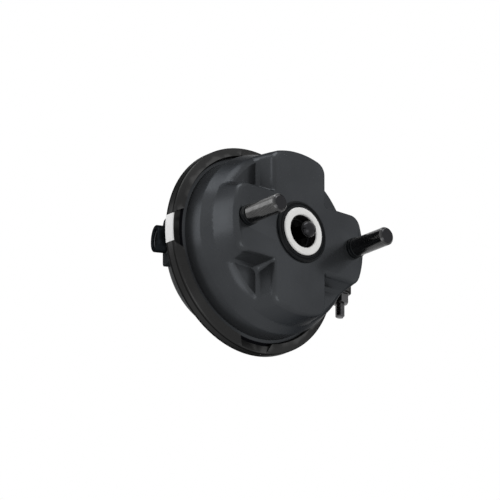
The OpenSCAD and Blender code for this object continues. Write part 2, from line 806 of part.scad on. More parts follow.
// A stud with its head in the housing, the head's flat towards the arm's end
module stud(side) {
    flat = arm_margin - housing_wall - cavity_edge - seat_gap;
    color(steel) translate([side * stud_x, 0, 0]) union() {
        turned([
            [0, -stud_reach],
            [stud_r - stud_chamfer, -stud_reach],
            [stud_r, -stud_reach + stud_chamfer],
            [stud_r, -stud_seal_h - stud_relief],
            [stud_r - stud_relief, -stud_seal_h],
            [stud_r - stud_relief, 0],
            [stud_r, 0],
            [stud_r, housing_wall],
            [0, housing_wall]
        ]);
        intersection() {
            bar(stud_head_d / 2, housing_wall, housing_wall + stud_head_h);
            translate([side * (flat - stud_head_d / 2), housing_wall + stud_head_h / 2, 0])
                cube([stud_head_d, stud_head_h, stud_head_d], center = true);
        }
    }
}

module stud_seal(side)
    color(rubber) translate([side * stud_x, 0, 0]) turned([
        [stud_r - stud_relief, 0],
        [stud_seal_d / 2, 0],
        [stud_seal_d / 2, -stud_seal_h + stud_seal_chamfer],
        [stud_seal_d / 2 - stud_seal_chamfer, -stud_seal_h],
        [stud_r - stud_relief, -stud_seal_h]
    ]);

front_housing();
rear_cover();
port_boss();
clamp_band();
clamp_bolt();
clamp_nut();
clamp_washers();
band_label();
diaphragm();
push_plate();
push_rod();
return_spring();
rod_boot();
boot_clip();
face_seal();
guide_ring();
stud(-1);  // stud_left
stud(1);  // stud_right
stud_seal(-1);  // stud_seal_left
stud_seal(1);  // stud_seal_right
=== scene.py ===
import json
import math
import bpy
import bmesh
from mathutils import Matrix, Vector


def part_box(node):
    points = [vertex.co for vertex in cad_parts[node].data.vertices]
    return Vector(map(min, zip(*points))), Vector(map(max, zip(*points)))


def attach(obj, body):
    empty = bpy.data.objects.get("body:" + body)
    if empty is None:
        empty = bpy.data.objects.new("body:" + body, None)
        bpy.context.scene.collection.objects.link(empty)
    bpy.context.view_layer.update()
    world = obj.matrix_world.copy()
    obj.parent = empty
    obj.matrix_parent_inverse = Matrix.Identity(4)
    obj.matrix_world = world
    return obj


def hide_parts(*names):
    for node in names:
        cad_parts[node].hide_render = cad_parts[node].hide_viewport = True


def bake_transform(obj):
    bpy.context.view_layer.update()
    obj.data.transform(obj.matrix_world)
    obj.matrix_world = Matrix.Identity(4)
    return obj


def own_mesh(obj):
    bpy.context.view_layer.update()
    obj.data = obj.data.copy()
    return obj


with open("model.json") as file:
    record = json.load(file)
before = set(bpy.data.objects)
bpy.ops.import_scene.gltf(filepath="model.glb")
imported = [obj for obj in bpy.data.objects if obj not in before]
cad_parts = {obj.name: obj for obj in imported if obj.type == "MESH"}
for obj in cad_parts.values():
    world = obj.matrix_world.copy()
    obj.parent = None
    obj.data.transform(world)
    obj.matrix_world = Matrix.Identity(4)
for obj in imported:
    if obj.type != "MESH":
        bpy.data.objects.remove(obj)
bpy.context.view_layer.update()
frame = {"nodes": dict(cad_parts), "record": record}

# Diaphragm brake cylinder in metres. Its axis is Y, the mounting face is y = 0 and looks along -Y.
# Z is up, and a depth is a place along Y.
cadNodes = frame["nodes"]
scene = bpy.context.scene
fullTurn = 2 * math.pi
mergeDistance = 2e-6  # points closer than this are made one
cutDistance = 1e-7  # points nearer to a cut than this lie on it
depthSlack = 1e-6  # for picking points by their depth
ridgeSink = 0.0001  # how far a thread's ridge goes into its core
ridgeFoot = 0.96  # width of the ridge's foot as a share of the pitch


# Tools for the pieces

def linkPiece(name, mesh):
    piece = bpy.data.objects.new(name, mesh)
    scene.collection.objects.link(piece)
    return piece


def pieceFrom(name, bm, sharpAngle=35):
    mesh = bpy.data.meshes.new(name)
    bm.to_mesh(mesh)
    bm.free()
    if "custom_normal" in mesh.attributes:
        mesh.attributes.remove(mesh.attributes["custom_normal"])
    mesh.shade_smooth()
    mesh.set_sharp_from_angle(angle=math.radians(sharpAngle))
    return linkPiece(name, mesh)


def mergedMesh(node):
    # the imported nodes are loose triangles, so a copy is merged before anything else
    bm = bmesh.new()
    bm.from_mesh(cadNodes[node].data)
    bmesh.ops.remove_doubles(bm, verts=bm.verts, dist=mergeDistance)
    return bm


def applyModifiers(piece):
    bpy.context.view_layer.update()
    depsgraph = bpy.context.evaluated_depsgraph_get()
    finished = bpy.data.meshes.new_from_object(piece.evaluated_get(depsgraph))
    piece.modifiers.clear()
    piece.data = finished
    return piece


def softenEdges(piece, width, segments=3, angle=30):
    bevel = piece.modifiers.new("softEdges", "BEVEL")
    bevel.limit_method = "ANGLE"
    bevel.angle_limit = math.radians(angle)
    bevel.width = width
    bevel.segments = segments
    bevel.harden_normals = True
    return piece


def addWire(bm, profile, closed=True):
    # profile points are (radius, depth)
    corners = [bm.verts.new((radius, depth, 0)) for radius, depth in profile]
    following = corners[1:] + (corners[:1] if closed else [])
    for start, end in zip(corners, following):
        bm.edges.new((start, end))
    return corners


def roundCorners(bm, corners, offset, segments=3):
    # corners are the points of a wire
    bmesh.ops.bevel(bm, geom=corners, offset=offset, offset_type="OFFSET", segments=segments,
                    profile=0.5, affect="VERTICES", material=-1, clamp_overlap=True)


def spinAll(bm, steps):
    # the wire turned round Y
    bmesh.ops.spin(bm, geom=bm.verts[:] + bm.edges[:], cent=(0, 0, 0), axis=(0, 1, 0), dvec=(0, 0, 0),
                   angle=fullTurn, steps=steps, use_merge=True, use_duplicate=False)
    bmesh.ops.remove_doubles(bm, verts=bm.verts, dist=mergeDistance)
    bmesh.ops.recalc_face_normals(bm, faces=bm.faces)


def turnedMesh(profile, offset, steps=96, segments=3):
    # a closed profile turned round Y, its corners rounded by offset
    bm = bmesh.new()
    roundCorners(bm, addWire(bm, profile), offset, segments)
    spinAll(bm, steps)
    return bm


def joinMesh(bm, other):
    spare = bpy.data.meshes.new("spare")
    other.to_mesh(spare)
    other.free()
    bm.from_mesh(spare)
    bpy.data.meshes.remove(spare)


def cutAcross(bm, place, normal):
    # a ring of edges where a thread ends
    bmesh.ops.bisect_plane(bm, geom=bm.verts[:] + bm.edges[:] + bm.faces[:], plane_co=place, plane_no=normal,
                           dist=cutDistance)


def threadMesh(crest, root, pitch, start, length, steps, crestShare):
    # one flat-topped ridge wound round Y; its ends are its first and last faces
    top, foot = crestShare / 2 * pitch, ridgeFoot / 2 * pitch
    profile = [(root, -foot), (crest, -top), (crest, top), (root, foot)]
    bm = bmesh.new()
    ridge = bm.faces.new([bm.verts.new((radius, start + depth, 0)) for radius, depth in profile])
    turns = length / pitch
    bmesh.ops.spin(bm, geom=[ridge], cent=(0, 0, 0), axis=(0, 1, 0), dvec=(0, pitch / steps, 0),
                   angle=fullTurn * turns, steps=round(steps * turns), use_merge=False, use_duplicate=False)
    bmesh.ops.recalc_face_normals(bm, faces=bm.faces)
    return bm


def narrowToCone(bm, tipDepth, tipRadius):
    # nothing stands out of a 45 degree chamfer that starts at tipDepth
    for vertex in bm.verts:
        radius = math.hypot(vertex.co.x, vertex.co.z)
        allowed = tipRadius + max(vertex.co.y - tipDepth, 0)
        if radius > allowed:
            vertex.co.x *= allowed / radius
            vertex.co.z *= allowed / radius


def thicken(piece, wall):
    solidify = piece.modifiers.new("wall", "SOLIDIFY")
    solidify.thickness = wall
    solidify.offset = 0
    return applyModifiers(piece)


def finish(piece, material, body, slotName, *replaced):
    piece.data.materials.clear()
    piece.data.materials.append(material)
    if body:
        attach(piece, body)
    if replaced:
        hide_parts(*replaced)
    return piece


def makeSoftened(node, name, material, body, slotName, width, segments=3):
    # a CAD node's own shape with softened edges
    piece = softenEdges(pieceFrom(name, mergedMesh(node)), width, segments)
    finish(piece, material, body, slotName, node)


# Tools for the materials

def newMaterial(name, look):
    # rim is how bright the surface gets where it is seen edge on
    material = bpy.data.materials.new(name)
    material.use_nodes = True
    shader = material.node_tree.nodes["Principled BSDF"]
    shader.inputs["Base Color"].default_value = (*look["colour"], 1)
    shader.inputs["Roughness"].default_value = look["roughness"]
    shader.inputs["Metallic"].default_value = look.get("metallic", 0.0)
    shader.inputs["Specular IOR Level"].default_value = look.get("specular", 0.5)
    shader.inputs["Specular Tint"].default_value = (*[look.get("rim", 1.0)] * 3, 1)
    return material


def link(material, source, node, socket):
    material.node_tree.links.new(source, node.inputs[socket])


def noise(material, scale, detail=3.0, stretch=(1, 1, 1)):
    tree = material.node_tree.nodes
    place = tree.new("ShaderNodeTexCoord")
    mapping = tree.new("ShaderNodeMapping")
    mapping.inputs["Scale"].default_value = stretch
    texture = tree.new("ShaderNodeTexNoise")
    texture.inputs["Scale"].default_value = scale
    texture.inputs["Detail"].default_value = detail
    link(material, place.outputs["Object"], mapping, "Vector")
    link(material, mapping.outputs["Vector"], texture, "Vector")
    return texture.outputs["Fac"]


def spread(material, source, low, high, fromLow=0.35, fromHigh=0.65):
    mapRange = material.node_tree.nodes.new("ShaderNodeMapRange")
    mapRange.inputs["From Min"].default_value = fromLow
    mapRange.inputs["From Max"].default_value = fromHigh
    mapRange.inputs["To Min"].default_value = low
    mapRange.inputs["To Max"].default_value = high
    link(material, source, mapRange, "Value")
    return mapRange.outputs["Result"]


def mixColours(material, factor, first, second):
    # first and second are colours, or the output of a node
    # sockets 6 and 7 are the mix's two colours, and output 2 is the mixed one
    mix = material.node_tree.nodes.new("ShaderNodeMix")
    mix.data_type = "RGBA"
    link(material, factor, mix, 0)
    for value, socket in ((first, 6), (second, 7)):
        if isinstance(value, tuple):
            mix.inputs[socket].default_value = (*value, 1)
        else:
            link(material, value, mix, socket)
    return mix.outputs[2]


def tinted(colour, share):
    return tuple(min(channel * share, 1.0) for channel in colour)


def bump(material, source, distance, below=None):
    # distance is the height of the pattern
    node = material.node_tree.nodes.new("ShaderNodeBump")
    node.inputs["Distance"].default_value = distance
    node.inputs["Strength"].default_value = 1.0
    link(material, source, node, "Height")
    if below:
        link(material, below, node, "Normal")
    return node.outputs["Normal"]


def edgeMask(material, low, high):
    # 1 on edges that stand out
    geometry = material.node_tree.nodes.new("ShaderNodeNewGeometry")
    return spread(material, geometry.outputs["Pointiness"], 0.0, 1.0, low, high)


def depthMask(material, low, high):
    # 1 in front of the depth low, 0 behind the depth high
    nodes = material.node_tree.nodes
    place = nodes.new("ShaderNodeTexCoord")
    split = nodes.new("ShaderNodeSeparateXYZ")
    link(material, place.outputs["Object"], split, "Vector")
    return spread(material, split.outputs["Y"], 1.0, 0.0, low, high)


def ringMask(material, start, end):
    # 1 between two depths, all round the axis
    fade = 0.0002
    both = material.node_tree.nodes.new("ShaderNodeMath")
    both.operation = "SUBTRACT"
    link(material, depthMask(material, end, end + fade), both, 0)
    link(material, depthMask(material, start - fade, start), both, 1)
    return both.outputs[0]


def setShader(material, **sources):
    shader = material.node_tree.nodes["Principled BSDF"]
    for socket, source in sources.items():
        link(material, source, shader, socket.replace("_", " "))
    return material


def cloudyColour(material, look):
    cloud = spread(material, noise(material, look["cloudScale"], 4), 0.0, 1.0)
    return mixColours(material, cloud, *[tinted(look["colour"], tint) for tint in look["cloudTints"]])


def roughnessFrom(material, source, look):
    return spread(material, source, *[look["roughness"] * tint for tint in look["roughTints"]])


# Each kind of finish: what all of its materials share, and the function that makes one

coatGrain = {"metallic": 0.5, "specular": 0.0, "rim": 0.3, "cloudTints": (0.86, 1.14), "speckScale": 700,
             "speckShare": 0.5, "speckRange": (0.66, 0.78), "speckTint": 1.9, "roughScale": 38,
             "roughTints": (0.88, 1.12), "peelDepth": 0.00001, "finerScale": 5, "finerDepth": 0.22,
             "paintedShadeRings": ()}


def coatedMetal(name, look):
    # dip coating: faint orange peel, cloudy colour, paler on edges for rubbed wear and a painted highlight,
    # and painted shade in the rings given
    look = {**coatGrain, **look}
    material = newMaterial(name, look)
    colour = cloudyColour(material, look)
    specks = noise(material, look["speckScale"], 2)
    specks = spread(material, specks, 0.0, look["speckShare"], *look["speckRange"])
    colour = mixColours(material, specks, colour, tinted(look["colour"], look["speckTint"]))
    # convex edges paler: rubbed wear with a painted highlight
    rubbedAndHighlit = edgeMask(material, *look["edgeRange"])
    colour = mixColours(material, rubbedAndHighlit, colour, look["edgeWearAndHighlightColour"])
    # painted shade: dark rings at the given depths, where the joint recess and the band's folds lie in shade
    for start, end in look["paintedShadeRings"]:
        colour = mixColours(material, ringMask(material, start, end), colour, look["paintedShadeColour"])
    rough = roughnessFrom(material, noise(material, look["roughScale"], 3), look)
    scale, depth = look["peelScale"], look["peelDepth"]
    peel = bump(material, noise(material, scale, 2), depth)
    finerPeel = noise(material, scale * look["finerScale"], 2)
    both = bump(material, finerPeel, depth * look["finerDepth"], below=peel)
    return setShader(material, Base_Color=colour, Roughness=rough, Normal=both)


steelGrain = {"metallic": 1.0, "cloudScale": 60, "cloudTints": (0.8, 1.12), "grimeScale": 240,
              "grimeRange": (0.52, 0.72), "grimeTint": 0.35, "roughTints": (0.78, 1.22), "stretch": (1, 1, 1)}


def workedSteel(name, look):
    # plated or bare steel with fine marks; stretch makes them run round or along the piece; a painted dark
    # reflection on the tips where paintedTipDepth is given
    look = {**steelGrain, **look}
    material = newMaterial(name, look)
    colour = cloudyColour(material, look)
    # painted dark reflection: darker in front of the given depth
    if "paintedTipDepth" in look:
        ends = depthMask(material, look["paintedTipDepth"], look["paintedTipDepth"] + look["paintedTipFade"])
        colour = mixColours(material, ends, colour, look["paintedTipColour"])
    grime = spread(material, noise(material, look["grimeScale"], 3), 0.0, look["grime"], *look["grimeRange"])
    colour = mixColours(material, grime, colour, tinted(look["colour"], look["grimeTint"]))
    marks = noise(material, look["markScale"], 3, look["stretch"])
    rough = roughnessFrom(material, marks, look)
    scratches = bump(material, marks, look["markDepth"])
    return setShader(material, Base_Color=colour, Roughness=rough, Normal=scratches)


rubberGrain = {"cloudScale": 90, "cloudTints": (0.75, 1.3), "dustScale": 420, "dustShare": 0.35,
               "dustRange": (0.58, 0.75), "dustTint": 2.4, "roughScale": 130, "roughTints": (0.85, 1.15),
               "grainScale": 1600, "grainDepth": 0.00003}


def mouldedRubber(name, look):
    # moulded rubber with a little pale dust
    look = {**rubberGrain, **look}
    material = newMaterial(name, look)
    colour = cloudyColour(material, look)
    dust = spread(material, noise(material, look["dustScale"], 3), 0.0, look["dustShare"], *look["dustRange"])
    colour = mixColours(material, dust, colour, tinted(look["colour"], look["dustTint"]))
    rough = roughnessFrom(material, noise(material, look["roughScale"], 3), look)
    grain = bump(material, noise(material, look["grainScale"], 2), look["grainDepth"])
    return setShader(material, Base_Color=colour, Roughness=rough, Normal=grain)


plasticGrain = {"cloudScale": 70, "cloudTints": (0.95, 1.02), "boreShadeFade": 0.0004, "roughScale": 160,
                "roughTints": (0.85, 1.15), "grainScale": 900}


def mouldedPlastic(name, look):
    # pale plastic, with painted shade in the bore behind boreShadeDepth where that is given
    look = {**plasticGrain, **look}
    material = newMaterial(name, look)
    colour = cloudyColour(material, look)
    if "boreShadeDepth" in look:
        # painted shade: the bore darkened behind the front face
        face = depthMask(material, look["boreShadeDepth"], look["boreShadeDepth"] + look["boreShadeFade"])
        colour = mixColours(material, face, look["boreShadeColour"], colour)
    rough = roughnessFrom(material, noise(material, look["roughScale"], 3), look)
    grain = bump(material, noise(material, look["grainScale"], 2), look["grainDepth"])
    return setShader(material, Base_Color=colour, Roughness=rough, Normal=grain)


# Finishes, one for each slot of the record

finishes = {
    "housing": {"colour": (0.050, 0.053, 0.057), "roughness": 0.26, "cloudScale": 14, "peelScale": 420,
                # housing edges: rubbed wear and painted highlight lines
                "edgeRange": (0.52, 0.58), "edgeWearAndHighlightColour": (0.085, 0.09, 0.095),
                # painted shade: the flange's slope in the joint recess, painted near black
                "paintedShadeRings": ((0.0597, 0.0625),), "paintedShadeColour": (0.004, 0.004, 0.005)},
    "cover": {"colour": (0.050, 0.054, 0.056), "roughness": 0.26, "cloudScale": 14, "peelScale": 420,
              "edgeRange": (0.56, 0.66), "edgeWearAndHighlightColour": (0.055, 0.058, 0.062)},
    "port": {"colour": (0.012, 0.014, 0.016), "roughness": 0.3, "cloudScale": 30, "peelScale": 600,
             "edgeRange": (0.53, 0.60), "edgeWearAndHighlightColour": (0.055, 0.058, 0.062)},
    "band": {"colour": (0.036, 0.036, 0.036), "roughness": 0.25, "cloudScale": 22, "peelScale": 500,
             "edgeRange": (0.56, 0.66), "edgeWearAndHighlightColour": (0.07, 0.07, 0.07),
             # painted shade: thin dark lines beside the band's folds
             "paintedShadeRings": ((0.0612, 0.0626), (0.0682, 0.0696)), "paintedShadeColour": (0.014, 0.014, 0.014)},
    "fastener": {"colour": (0.08, 0.08, 0.082), "roughness": 0.2, "grime": 0.35,
                 "markScale": 300, "markDepth": 0.000005, "stretch": (1, 1, 6)},
    "stud": {"colour": (0.10, 0.10, 0.10), "roughness": 0.2, "grime": 0.25,
             "markScale": 260, "markDepth": 0.000004, "stretch": (1, 6, 1),
             # painted dark reflection on the stud tips
             "paintedTipDepth": -0.0429, "paintedTipFade": 0.0025, "paintedTipColour": (0.024, 0.024, 0.026)},
    "rod": {"colour": (0.028, 0.028, 0.030), "roughness": 0.22, "grime": 0.4,
            "markScale": 240, "markDepth": 0.00001, "stretch": (1, 8, 1)},
    "plate": {"colour": (0.30, 0.30, 0.31), "roughness": 0.4, "grime": 0.6,
              "markScale": 160, "markDepth": 0.00003},
    "spring": {"colour": (0.12, 0.12, 0.13), "roughness": 0.42, "grime": 0.6,
               "markScale": 320, "markDepth": 0.00003},
    "clip": {"colour": (0.40, 0.40, 0.40), "roughness": 0.3, "grime": 0.3,
             "markScale": 300, "markDepth": 0.00001},
    "diaphragm": {"colour": (0.012, 0.012, 0.013), "roughness": 0.7, "specular": 0.3},
    "boot": {"colour": (0.006, 0.006, 0.007), "roughness": 0.5, "specular": 0.15},
    "seal": {"colour": (0.005, 0.006, 0.007), "roughness": 0.4, "specular": 0.1},
    "guide": {"colour": (0.80, 0.80, 0.79), "roughness": 0.42, "grainDepth": 0.00002,
              # painted shade in the ring's bore
              "boreShadeDepth": -0.0028, "boreShadeColour": (0.012, 0.012, 0.012)},
    "label": {"colour": (0.80, 0.80, 0.80), "roughness": 0.35, "grainDepth": 0.00004},
}

castingCoat = coatedMetal("castingCoat", finishes["housing"])
coverCoat = coatedMetal("coverCoat", finishes["cover"])
portCoat = coatedMetal("portCoat", finishes["port"])
bandCoat = coatedMetal("bandCoat", finishes["band"])
fastenerSteel = workedSteel("fastenerSteel", finishes["fastener"])
studSteel = workedSteel("studSteel", finishes["stud"])
rodSteel = workedSteel("rodSteel", finishes["rod"])
plateSteel = workedSteel("plateSteel", finishes["plate"])
springSteel = workedSteel("springSteel", finishes["spring"])
clipSteel = workedSteel("clipSteel", finishes["clip"])
diaphragmRubber = mouldedRubber("diaphragmRubber", finishes["diaphragm"])
bootRubber = mouldedRubber("bootRubber", finishes["boot"])
sealRubber = mouldedRubber("sealRubber", finishes["seal"])
guidePlastic = mouldedPlastic("guidePlastic", finishes["guide"])
labelFilm = mouldedPlastic("labelFilm", finishes["label"])
print("materials ready")


# Housing casting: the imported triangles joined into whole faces, so that the coat runs smoothly over them

housingLook = {"flatAngle": 0.5, "sharpAngle": 32, "normalWeight": 80, "rubbedAndHighlitWidth": 0.0012,
               "faceNormal": -0.999, "faceDepth": 0.0001}


def makeHousing(look):
    bm = mergedMesh("front_housing")
    bmesh.ops.dissolve_limit(bm, angle_limit=math.radians(look["flatAngle"]), verts=bm.verts,
                             edges=bm.edges)
    mountingFace = [face for face in bm.faces if face.normal.y < look["faceNormal"]
                    and face.calc_center_median().y < look["faceDepth"]]
    # a narrow border keeps the paler edge, rubbed wear and painted highlight, from spreading over the whole
    # face
    bmesh.ops.inset_region(bm, faces=mountingFace, thickness=look["rubbedAndHighlitWidth"], use_boundary=True,
                           use_even_offset=True)
    piece = pieceFrom("housingCasting", bm, look["sharpAngle"])
    weighted = piece.modifiers.new("weighted", "WEIGHTED_NORMAL")
    weighted.keep_sharp = True
    weighted.weight = look["normalWeight"]
    finish(piece, castingCoat, "casing", "housing_paint", "front_housing")


makeHousing(housingLook)
print("housing ready")


# Rear cover, air port and the weld between them

portMount = next(mount for mount in frame["record"]["mounts"] if mount["name"] == "air_port")
coverLook = {"edge": 0.0004}
portLook = {"mouthFromMount": 0.0065, "outside": 0.01165, "thread": 0.008, "threadDepth": 0.0008,
            "pitch": 0.0015, "crestShare": 0.14, "threadLength": 0.0125, "ridgeFrom": 0.002,
            "ridgeShorter": 0.003, "passage": 0.0045, "length": 0.0165, "chamfer": 0.0008, "edge": 0.0002,
            "padDepth": 0.0113, "weldRadius": 0.0011, "weldShift": 0.2, "ripples": 38,
            "rippleHeight": 0.00009}


def toPort(bm, look):
    # from round the Y axis with the mouth at y = 0 to the port's own place
    axis = Vector(portMount["axis"]).normalized()
    mouth = Vector(portMount["pos_m"]) + axis * look["mouthFromMount"]
    turn = Vector((0, -1, 0)).rotation_difference(axis).to_matrix().to_4x4()
    bmesh.ops.transform(bm, matrix=Matrix.Translation(mouth) @ turn, verts=bm.verts)


def makePort(look):
    out, chamfer, bore = look["outside"], look["chamfer"], look["thread"]
    bm = turnedMesh([
        (look["passage"], look["length"]), (out, look["length"]), (out, chamfer), (out - chamfer, 0),
        (bore + chamfer, 0), (bore, chamfer), (bore, look["threadLength"]),
        (look["passage"], look["threadLength"] + 2 * chamfer)
    ], look["edge"], segments=2)
    thread = threadMesh(bore - look["threadDepth"], bore + ridgeSink, look["pitch"], look["ridgeFrom"],
                        look["threadLength"] - look["ridgeShorter"], 40, look["crestShare"])
    joinMesh(bm, thread)
    toPort(bm, look)
    finish(pieceFrom("portBoss", bm), portCoat, "casing", "port_steel", "port_boss")


def makeWeld(look):
    # a rippled bead round the boss, on the cover's pad
    bm = bmesh.new()
    radius = look["weldRadius"]
    middle = look["outside"] + look["weldShift"] * radius
    bmesh.ops.create_circle(bm, cap_ends=False, radius=radius, segments=10)
    bmesh.ops.translate(bm, vec=(middle, look["padDepth"], 0), verts=bm.verts)
    spinAll(bm, steps=120)
    for vertex in bm.verts:
        angle = math.atan2(vertex.co.z, vertex.co.x)
        vertex.co.y -= look["rippleHeight"] * math.sin(look["ripples"] * angle)
    toPort(bm, look)
    finish(pieceFrom("portWeld", bm, sharpAngle=60), coverCoat, "casing", "cover_paint")


makeSoftened("rear_cover", "coverPressing", coverCoat, "casing", "cover_paint", coverLook["edge"])
makePort(portLook)
makeWeld(portLook)
print("cover and port ready")


# Clamp band with its screw joint and label

clampLook = {"edge": 0.00035, "hexEdge": 0.0003, "washerEdge": 0.0002, "labelEdge": 0.0001,
             "boltRadius": 0.004, "boltRoot": 0.0037, "pitch": 0.00125, "crestShare": 0.7,
             "threadIntoNut": 0.002, "ridgeFrom": 0.0006, "ridgeShorter": 0.001, "tipInset": 0.0004}


def makeBolt(look):
    low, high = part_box("clamp_bolt")
    nutLow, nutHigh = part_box("clamp_nut")
    axis = Vector(((nutLow.x + nutHigh.x) / 2, (low.y + high.y) / 2, 0))
    bm = mergedMesh("clamp_bolt")
    bmesh.ops.translate(bm, vec=-axis, verts=bm.verts)
    threadTop = nutLow.z + look["threadIntoNut"]
    cutAcross(bm, (0, 0, threadTop), (0, 0, 1))
    share = look["boltRoot"] / look["boltRadius"]
    below = [vertex for vertex in bm.verts if vertex.co.z < threadTop + depthSlack]
    bmesh.ops.scale(bm, vec=(share, share, 1), verts=below)
    thread = threadMesh(look["boltRadius"], look["boltRoot"] - ridgeSink, look["pitch"],
                        low.z + look["ridgeFrom"], threadTop - low.z - look["ridgeShorter"], 36,
                        look["crestShare"])
    narrowToCone(thread, low.z, look["boltRoot"] - look["tipInset"])
    upright = Matrix.Rotation(math.pi / 2, 3, "X")
    bmesh.ops.rotate(thread, cent=(0, 0, 0), matrix=upright, verts=thread.verts)
    joinMesh(bm, thread)
    bmesh.ops.translate(bm, vec=axis, verts=bm.verts)
    piece = softenEdges(pieceFrom("clampBolt", bm), look["hexEdge"], segments=2, angle=40)
    piece.modifiers["softEdges"].use_clamp_overlap = True
    finish(piece, fastenerSteel, "casing", "fastener_steel", "clamp_bolt")


makeSoftened("clamp_band", "clampBand", bandCoat, "casing", "band_steel", clampLook["edge"])
makeBolt(clampLook)
makeSoftened("clamp_nut", "clampNut", fastenerSteel, "casing", "fastener_steel", clampLook["hexEdge"])
makeSoftened("clamp_washers", "clampWashers", fastenerSteel, "casing", "fastener_steel",
             clampLook["washerEdge"], segments=2)
makeSoftened("band_label", "bandLabel", labelFilm, "casing", "label_film", clampLook["labelEdge"], segments=2)
print("clamp ready")


# Mounting studs and the seals round them

studLook = {"radius": 0.008, "root": 0.0076, "pitch": 0.0015, "crestShare": 0.76, "ridgeFrom": 0.0009,
            "tipRadius": 0.0059, "relief": 0.0008, "sealChamfer": 0.0006, "sealEdge": 0.00018,
            "sealGroove": 0.0004, "grooveShares": (0.36, 0.45, 0.52, 0.61)}


def makeStud(side, look):
    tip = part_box("stud_" + side)[0].y
    sealLow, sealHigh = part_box("stud_seal_" + side)
    centre = Vector(((sealLow.x + sealHigh.x) / 2, 0, 0))
    bm = mergedMesh("stud_" + side)
    bmesh.ops.translate(bm, vec=-centre, verts=bm.verts)
    threadEnd = sealLow.y + look["relief"]  # inside the seal
    cutAcross(bm, (0, threadEnd, 0), (0, 1, 0))
    share = look["root"] / look["radius"]
    ahead = [vertex for vertex in bm.verts if tip + depthSlack < vertex.co.y < threadEnd + depthSlack]
    bmesh.ops.scale(bm, vec=(share, 1, share), verts=ahead)
    thread = threadMesh(look["radius"], look["root"] - ridgeSink, look["pitch"], tip + look["ridgeFrom"],
                        threadEnd - tip - look["ridgeFrom"], 48, look["crestShare"])
    narrowToCone(thread, tip, look["tipRadius"])
    joinMesh(bm, thread)
    bmesh.ops.translate(bm, vec=centre, verts=bm.verts)
    piece = pieceFrom("stud" + side.capitalize(), bm)
    finish(piece, studSteel, "casing", "stud_steel", "stud_" + side)
    makeStudSeal(side, centre, -sealLow.y, sealHigh.x - centre.x, look)


def makeStudSeal(side, centre, height, outside, look):
    inside, chamfer, groove = look["radius"] - look["relief"], look["sealChamfer"], look["sealGroove"]
    grooveStart, floorStart, floorEnd, grooveEnd = [-share * height for share in look["grooveShares"]]
    bm = turnedMesh([
        (inside, 0), (outside, 0), (outside, grooveStart), (outside - groove, floorStart),
        (outside - groove, floorEnd), (outside, grooveEnd), (outside, chamfer - height),
        (outside - chamfer, -height), (inside, -height)
    ], look["sealEdge"], segments=2)
    bmesh.ops.translate(bm, vec=centre, verts=bm.verts)
    piece = pieceFrom("studSeal" + side.capitalize(), bm)
    finish(piece, sealRubber, "casing", "seal_rubber", "stud_seal_" + side)


for side in ("left", "right"):
    makeStud(side, studLook)
print("studs ready")


# Face seal and guide ring round the push rod

ringLook = {"guideRadius": 0.0211, "guideBore": 0.0144, "guideChamfer": 0.0008, "guideEdge": 0.0003,
            "boreRadius": 0.0231, "backRadius": 0.0254, "housingWall": 0.004, "lip": 0.0019,
            "lipChamfer": 0.0009, "groove": 0.002, "grooveDepth": 0.001, "grooveTaper": 0.0006,
            "sealEdge": 0.00025}


def makeFaceSeal(look):
    low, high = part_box("face_seal")
    outside, front = high.x, low.y
    grooveOut = outside - look["lip"]
    grooveIn = grooveOut - look["groove"]
    taper, floor = look["grooveTaper"], front + look["grooveDepth"]
    chamfer, wall = look["lipChamfer"], look["housingWall"]
    bm = turnedMesh([
        (look["guideRadius"], front), (grooveIn, front), (grooveIn + taper, floor),
        (grooveOut - taper, floor), (grooveOut, front), (outside - chamfer, front),
        (outside, front + chamfer), (outside, 0), (look["boreRadius"], 0), (look["boreRadius"], wall),
        (look["backRadius"], wall), (look["backRadius"], high.y), (look["guideRadius"], high.y)
    ], look["sealEdge"], steps=120)
    finish(pieceFrom("faceSeal", bm), sealRubber, "casing", "seal_rubber", "face_seal")


def makeGuideRing(look):
    low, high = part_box("guide_ring")
    out, bore, chamfer = look["guideRadius"], look["guideBore"], look["guideChamfer"]
    bm = turnedMesh([
        (bore, low.y + chamfer), (bore + chamfer, low.y), (out - chamfer, low.y), (out, low.y + chamfer),
        (out, high.y), (bore, high.y)
    ], look["guideEdge"], steps=120)
    finish(pieceFrom("guideRing", bm), guidePlastic, "casing", "guide_plastic", "guide_ring")


makeFaceSeal(ringLook)
makeGuideRing(ringLook)
print("seal and guide ready")


# Push rod with its plate

rodLook = {"nose": 0.0072, "noseSteps": 18, "neck": 0.0056, "radius": 0.0098, "taperFrom": 0.0047,
           "taperTo": 0.0127, "collar": 0.015, "collarFront": 0.0929, "collarTaper": 0.003,
           "plateFront": 0.0999, "stub": 0.006, "edge": 0.0004, "plateEdge": 0.0004}


def makePushRod(look):
    low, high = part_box("push_rod")
    nose = look["nose"]
    centre = low.y + nose
    lastAngle = math.pi - math.asin(look["neck"] / nose)
    angles = [lastAngle * step / look["noseSteps"] for step in range(look["noseSteps"] + 1)]
    bm = bmesh.new()
    arc = [(nose * math.sin(angle), centre - nose * math.cos(angle)) for angle in angles]
    addWire(bm, arc + [
        (look["neck"], look["taperFrom"]), (look["radius"], look["taperTo"]),
        (look["radius"], look["collarFront"] - look["collarTaper"]), (look["collar"], look["collarFront"]),
        (look["collar"], look["plateFront"]), (look["stub"], look["plateFront"]), (look["stub"], high.y),
        (0, high.y)
    ], closed=False)
    spinAll(bm, steps=72)
    piece = softenEdges(pieceFrom("pushRod", bm), look["edge"], segments=2)
    finish(piece, rodSteel, "rod", "rod_steel", "push_rod")


makePushRod(rodLook)
makeSoftened("push_plate", "pushPlate", plateSteel, "rod", "plate_steel", rodLook["plateEdge"])
print("rod and plate ready")


# Boot round the rod: the folds stay on the casing, the cuff and its clip go with the rod

bootLook = {"wall": 0.0012, "mouth": 0.0205, "inner": 0.012, "outer": 0.0186, "folds": 8, "cuff": 0.007,
            "cuffRadius": 0.0107, "bend": 0.0012}


